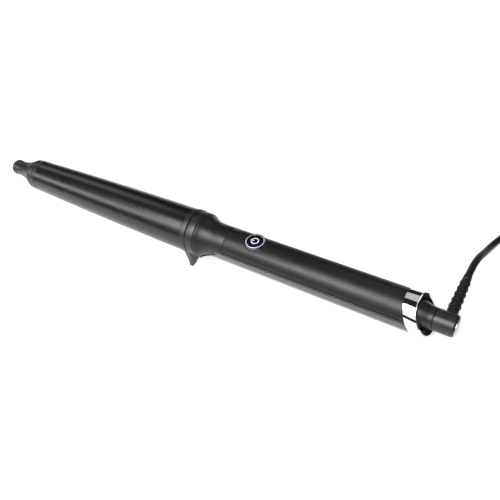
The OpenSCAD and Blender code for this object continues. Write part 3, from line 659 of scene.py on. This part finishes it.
# --- Cool tip ------------------------------------------------------------------------------------
# The moulded tip that the fingers hold: a short collar as wide as the barrel with a sharp rim,
# and a hollow-sided cone that narrows to a rounded end. Its spigot is pushed into the barrel.
tip_line = [(-133, 0), (-133, 9.7), (-141, 9.7), (-141, 11.3), (-141.15, 11.38), (-145.4, 11.2),
            (-145.5, 11.08), (-145.6, 11.18), (-149.2, 11.0), (-149.5, 10.7)]
FLARE_X, FLARE_LONG = -149.5, 20.5
WAIST_R, RIM_R = 5.45, 10.7
for k in range(1, 21):
    share = k / 20
    tip_line.append((FLARE_X - FLARE_LONG * share, WAIST_R + (RIM_R - WAIST_R) * (1 - share) ** 1.8))
tip_line += [(-171.8, 5.58), (-173.6, 5.75)]
for k in range(1, 7):
    angle = math.radians(15 * k)
    tip_line.append((-173.7 - math.sin(angle), 4.75 + math.cos(angle)))
tip_line.append((-174.7, 0))
cool_tip = soften(lathe("cool_tip_moulding", tip_line), 0.08, 2, 30, 25)
settle(cool_tip, WAND)
fit(cool_tip, satin_nylon, "wand", "satin_black", "cool_tip")

# --- Barrel --------------------------------------------------------------------------------------
# The tapered heated tube: aluminium, drawn and spun to its taper, with a fired ceramic coating
# 0.1 mm thick. It is almost black and silky, so lamps show on it as long soft streaks.
ceramic = moulded("fired_ceramic_coating", "#09090a", "#0d0d0e", (0.26, 0.3), 10, 0.5, 0.012,
                  IOR=1.5)
coat(ceramic, "barrel")

# --- Inside --------------------------------------------------------------------------------------
# The heater, its sensors and leads inside the barrel, the slip rings that feed the cord's current
# through the swivel, and the circuit board with its parts inside the handle.
heater_aluminium = moulded("extruded_aluminium", "#9a9da1", "#b4b6ba", (0.3, 0.45), 5, 0.3, 0.02,
                           Metallic=1.0)
coat(heater_aluminium, "heater_upper", "heater_lower")
steel = moulded("bright_steel", "#a8a9ac", "#bdbec1", (0.2, 0.32), 4, 0.3, 0.01, Metallic=1.0)
coat(steel, "thermal_fuse", "board_screws", "spindle", "spindle_retainer")
brass = moulded("turned_brass", "#a8863e", "#bf9c50", (0.22, 0.34), 4, 0.3, 0.01, Metallic=1.0)
coat(brass, "swivel_bush", "slip_rings", "contact_pins")
ceramic_white = moulded("fired_alumina", "#d8d3c6", "#e8e4da", (0.5, 0.62), 4, 0.25, 0.02)
coat(ceramic_white, "heating_elements", "thermistor")
sleeving = moulded("silicone_sleeving", "#d3cfc6", "#e2dfd8", (0.5, 0.6), 3, 0.3, 0.03)
coat(sleeving, "heater_leads")
resin = moulded("glass_filled_resin", "#5c4d3e", "#6f5f4e", (0.5, 0.62), 5, 0.3, 0.03)
coat(resin, "barrel_socket", "slip_ring_drum", "contact_holder")
component = moulded("moulded_epoxy", "#202022", "#2c2c2f", (0.4, 0.5), 5, 0.3, 0.02)
coat(component, "tact_switch", "switch_plunger", "capacitor", "triac")
lacquer = moulded("solder_resist_lacquer", "#14532c", "#1c6437", (0.25, 0.35), 3, 0.8, 0.03)
coat(lacquer, "circuit_board", "terminal_block")
coat(cord_pvc, "mains_leads")

# --- Table and light -----------------------------------------------------------------------------
# A plain white table under soft studio light: a strip lamp and a weak back lamp along the barrel,
# and a bright box, a dim low panel and a small back panel along the handle. The gap overhead is
# dark, and shows as the black band in the chrome.
clear()
bpy.ops.mesh.primitive_plane_add(size=6)
table = bpy.context.object
table.name = "table"
table_top, tree, principled, coords = finish("white_laminate", Roughness=0.9,
                                             Specular_IOR_Level=0.1, Emission_Strength=0.7)
principled.inputs["Emission Color"].default_value = (1, 1, 1, 1)
shade = node(tree, "TexNoise", {"Vector": coords, "Scale": 2.0})
paint = node(tree, "Mix", {"Factor": shade.outputs["Fac"], "A": linear("#aaaaaa"),
                           "B": linear("#aeaeae")}, data_type="RGBA")
tree.links.new(paint.outputs["Result"], principled.inputs["Base Color"])
table.data.materials.append(table_top)


def softbox(name, angle, distance, long, wide, radiance, along):
    """A long soft lamp beside the wand, at an angle from upright towards the front."""
    data = bpy.data.lights.new(name, "AREA")
    data.shape = "RECTANGLE"
    data.size, data.size_y = long, wide
    data.energy = radiance * math.pi * long * wide
    lamp = bpy.data.objects.new(name, data)
    angle = math.radians(angle)
    lamp.location = (along, -distance * math.sin(angle), distance * math.cos(angle))
    lamp.rotation_euler = (angle, 0, 0)
    bpy.context.scene.collection.objects.link(lamp)


softbox("barrel_softbox", 48, 1.1, 1.45, 0.4, 4.6, -1.475)
softbox("handle_softbox", 33, 1.1, 1.35, 0.6, 10, -0.075)
softbox("low_front_panel", 61, 1.1, 1.35, 0.52, 1.2, -0.075)
softbox("back_softbox", -29, 1.1, 1.45, 0.45, 1.2, -1.475)
softbox("back_panel", -35, 1.1, 0.7, 0.8, 0.6, 0.1)
world = bpy.data.worlds.new("studio")
bpy.context.scene.world = world
world.use_nodes = True
world.node_tree.nodes["Background"].inputs["Color"].default_value = (1, 1, 1, 1)
world.node_tree.nodes["Background"].inputs["Strength"].default_value = 0.02
bpy.context.scene.view_settings.view_transform = "Standard"
